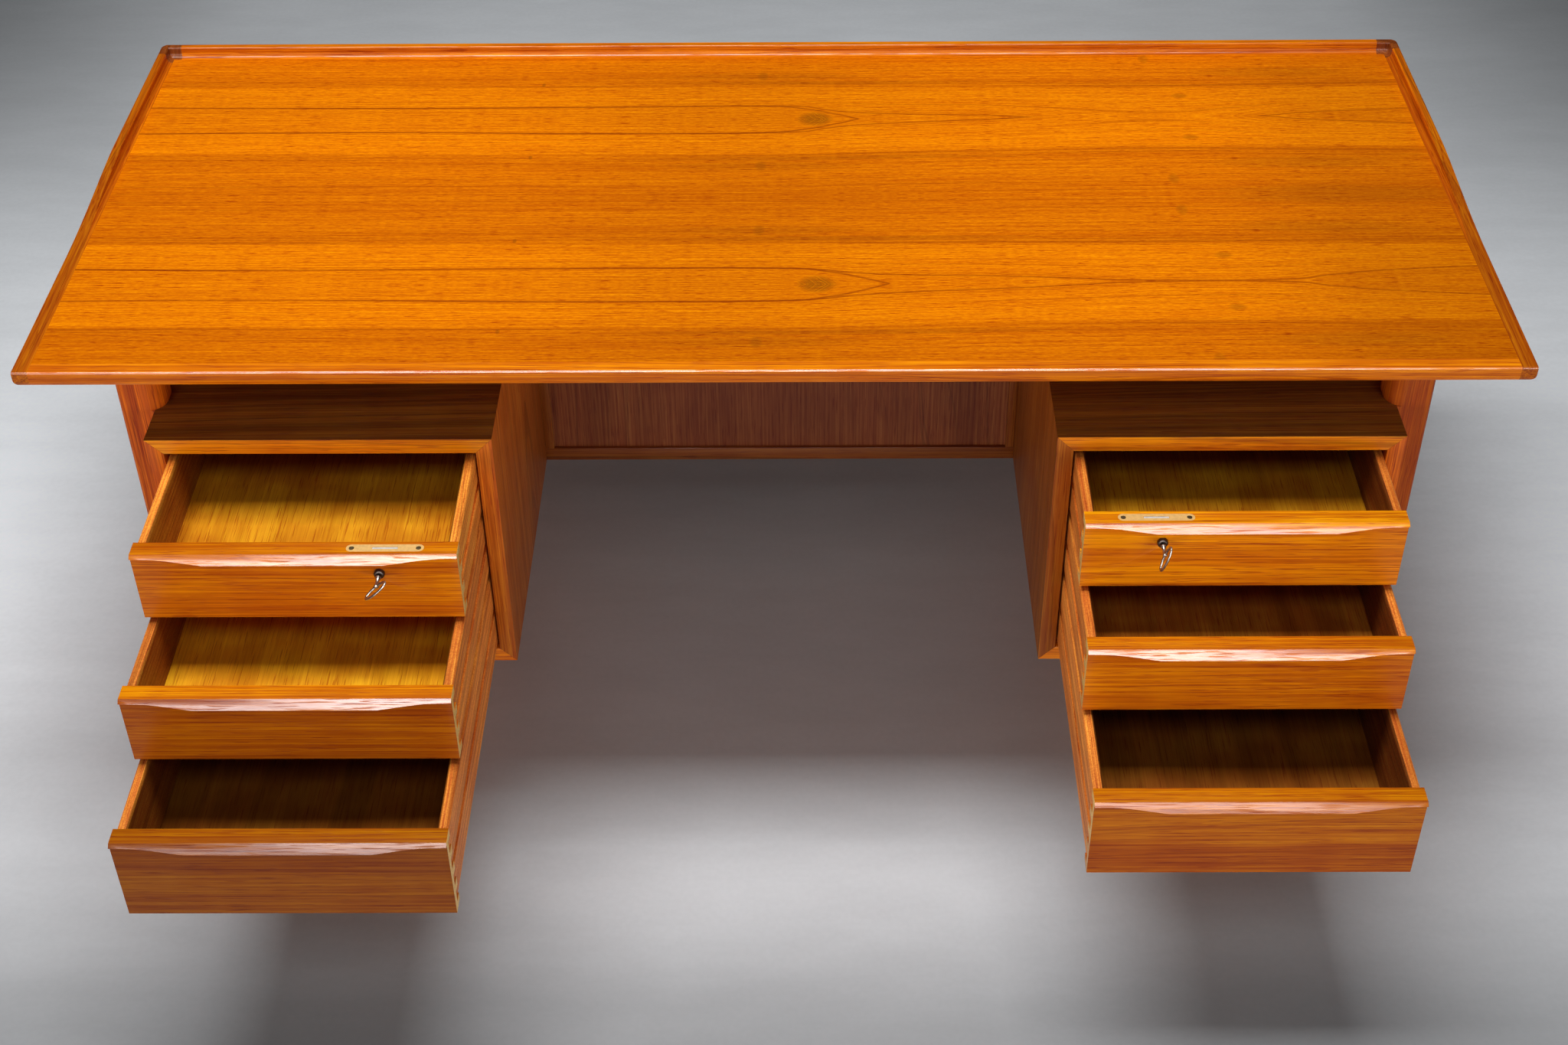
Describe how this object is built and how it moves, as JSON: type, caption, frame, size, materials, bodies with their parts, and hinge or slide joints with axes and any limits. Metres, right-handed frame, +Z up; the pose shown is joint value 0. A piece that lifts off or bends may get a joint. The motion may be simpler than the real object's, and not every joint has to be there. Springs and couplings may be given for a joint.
{
  "type": "desk",
  "caption": "Writing desk with a floating top, raised rear lip, tapered legs and two hanging drawer pedestals with locking top drawers, joined by a knee-hole panel.",
  "frame": {"origin": "on the floor, in the middle of the desk's width and half way between the desktop's back edge and the pull of the drawer that is open furthest", "axes": "+X to the right as one sits at the desk, +Y from the sitter towards the back, +Z up"},
  "size_m": [1.7, 1.177, 0.734],
  "materials": {
    "veneer": "oiled teak veneer, lengthwise grain",
    "teak": "oiled solid teak",
    "lip_teak": "oiled solid teak, reddish",
    "dark_teak": "oiled dark end-grain teak",
    "leg_teak": "oiled solid teak",
    "shaded_teak": "oiled teak veneer, vertical grain",
    "drawer_wood": "sanded and waxed",
    "ply": "lacquered plywood",
    "brass": "worn satin",
    "steel": "worn nickel"
  },
  "bodies": {
    "desk": {"top_panel": "veneer", "front_strip": "teak", "back_lip": "teak", "side_lip_left": "lip_teak", "side_lip_right": "lip_teak", "corner_blocks": "dark_teak", "leg_front_left": "leg_teak", "leg_back_left": "leg_teak", "leg_front_right": "leg_teak", "leg_back_right": "leg_teak", "top_battens": "teak", "top_risers": "teak", "left_top_board": "teak", "left_bottom_board": "teak", "left_inner_board": "shaded_teak", "left_outer_board": "teak", "left_back_panel": "ply", "right_top_board": "teak", "right_bottom_board": "teak", "right_inner_board": "shaded_teak", "right_outer_board": "teak", "right_back_panel": "ply", "drawer_runners": "drawer_wood", "modesty_panel": "shaded_teak", "modesty_rails": "teak", "modesty_strips": "teak"},
    "left_top_drawer": {"left_top_front": "teak", "left_top_sides": "drawer_wood", "left_top_rear": "drawer_wood", "left_top_base": "ply", "left_lock": "brass", "left_barrel": "steel", "left_plate_screws": "brass"},
    "left_middle_drawer": {"left_middle_front": "teak", "left_middle_sides": "drawer_wood", "left_middle_rear": "drawer_wood", "left_middle_base": "ply"},
    "left_bottom_drawer": {"left_bottom_front": "teak", "left_bottom_sides": "drawer_wood", "left_bottom_rear": "drawer_wood", "left_bottom_base": "ply"},
    "left_key_piece": {"left_key": "steel"},
    "left_bolt_piece": {"left_bolt": "steel"},
    "right_top_drawer": {"right_top_front": "teak", "right_top_sides": "drawer_wood", "right_top_rear": "drawer_wood", "right_top_base": "ply", "right_lock": "brass", "right_barrel": "steel", "right_plate_screws": "brass"},
    "right_middle_drawer": {"right_middle_front": "teak", "right_middle_sides": "drawer_wood", "right_middle_rear": "drawer_wood", "right_middle_base": "ply"},
    "right_bottom_drawer": {"right_bottom_front": "teak", "right_bottom_sides": "drawer_wood", "right_bottom_rear": "drawer_wood", "right_bottom_base": "ply"},
    "right_key_piece": {"right_key": "steel"},
    "right_bolt_piece": {"right_bolt": "steel"}
  },
  "joints": [
    {"name": "left_top_slide", "type": "slide", "parent": "desk", "child": "left_top_drawer", "axis": [0, -1, 0], "range_m": [-0.178, 0.272]},
    {"name": "left_middle_slide", "type": "slide", "parent": "desk", "child": "left_middle_drawer", "axis": [0, -1, 0], "range_m": [-0.307, 0.143]},
    {"name": "left_bottom_slide", "type": "slide", "parent": "desk", "child": "left_bottom_drawer", "axis": [0, -1, 0], "range_m": [-0.429, 0.021]},
    {"name": "left_key_turn", "type": "hinge", "parent": "left_top_drawer", "child": "left_key_piece", "pos_m": [-0.435, -0.3285, 0.56025], "axis": [0, 1, 0], "range_deg": [0, 180]},
    {"name": "left_bolt_slide", "type": "slide", "parent": "left_top_drawer", "child": "left_bolt_piece", "axis": [0, 0, 1], "range_m": [0, 0.008]},
    {"name": "right_top_slide", "type": "slide", "parent": "desk", "child": "right_top_drawer", "axis": [0, -1, 0], "range_m": [-0.129, 0.321]},
    {"name": "right_middle_slide", "type": "slide", "parent": "desk", "child": "right_middle_drawer", "axis": [0, -1, 0], "range_m": [-0.233, 0.217]},
    {"name": "right_bottom_slide", "type": "slide", "parent": "desk", "child": "right_bottom_drawer", "axis": [0, -1, 0], "range_m": [-0.373, 0.077]},
    {"name": "right_key_turn", "type": "hinge", "parent": "right_top_drawer", "child": "right_key_piece", "pos_m": [0.435, -0.2795, 0.56025], "axis": [0, -1, 0], "range_deg": [0, 180]},
    {"name": "right_bolt_slide", "type": "slide", "parent": "right_top_drawer", "child": "right_bolt_piece", "axis": [0, 0, 1], "range_m": [0, 0.008]}
  ],
  "couplings": [
    {"joint": "left_key_turn", "follows": "left_bolt_slide", "rad_per_m": 392.69},
    {"joint": "right_key_turn", "follows": "right_bolt_slide", "rad_per_m": 392.69}
  ]
}
